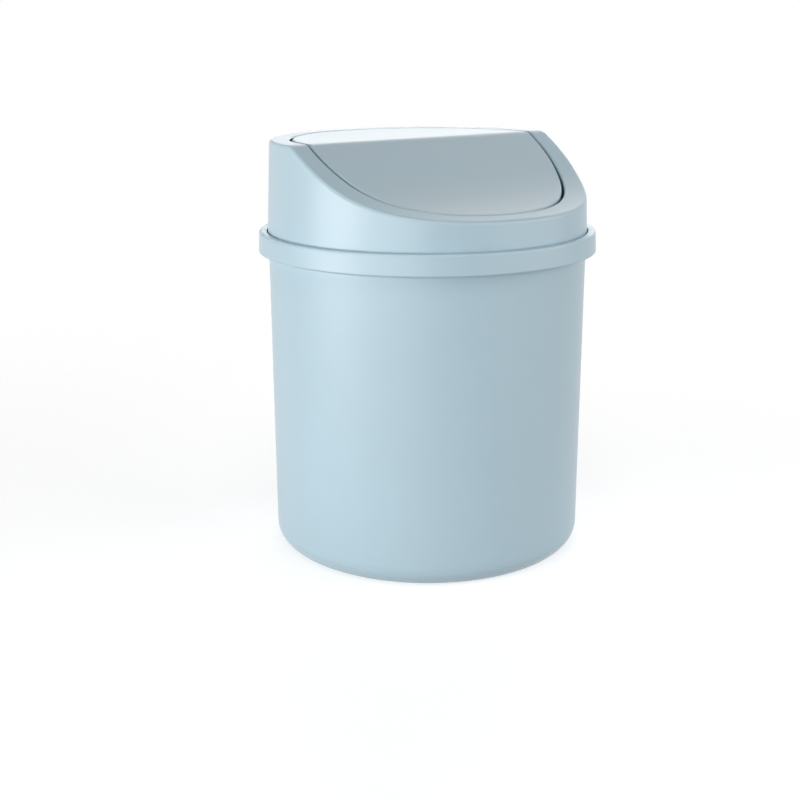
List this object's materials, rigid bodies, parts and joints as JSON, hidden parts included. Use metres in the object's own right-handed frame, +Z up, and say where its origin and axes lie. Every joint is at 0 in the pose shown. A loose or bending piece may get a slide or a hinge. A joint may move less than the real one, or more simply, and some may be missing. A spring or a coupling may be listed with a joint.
{
  "type": "desktop swing-lid bin",
  "caption": "Small round desktop bin: tapered bucket with a stepped collar, lift-off hood with a scooped front slope, and a flush flap that swings on side pins.",
  "frame": {"origin": "centre of the foot ring on the surface that the bin stands on", "axes": "+Z up along the bucket's axis, -Y to the scooped front, X along the flap's pivot axis"},
  "size_m": [0.1348, 0.1348, 0.1653],
  "materials": {
    "bucket_plastic": "satin pale grey-blue moulding",
    "hood_plastic": "satin pale grey-blue moulding",
    "flap_plastic": "fine matt texture, pale grey-blue moulding",
    "pin_plastic": "smooth natural plastic"
  },
  "bodies": {
    "bucket": {"bucket": "bucket_plastic"},
    "hood": {"lid_hood": "hood_plastic"},
    "flap": {"swing_flap": "flap_plastic", "left_pivot_pin": "pin_plastic", "right_pivot_pin": "pin_plastic"}
  },
  "joints": [
    {"name": "hood_lift", "type": "slide", "parent": "bucket", "child": "hood", "axis": [0, 0, 1], "range_m": [0, 0.06]},
    {"name": "flap_swing", "type": "hinge", "parent": "hood", "child": "flap", "pos_m": [0, -0.00076, 0.1597], "axis": [1, 0, 0], "range_deg": [-75, 75]}
  ]
}
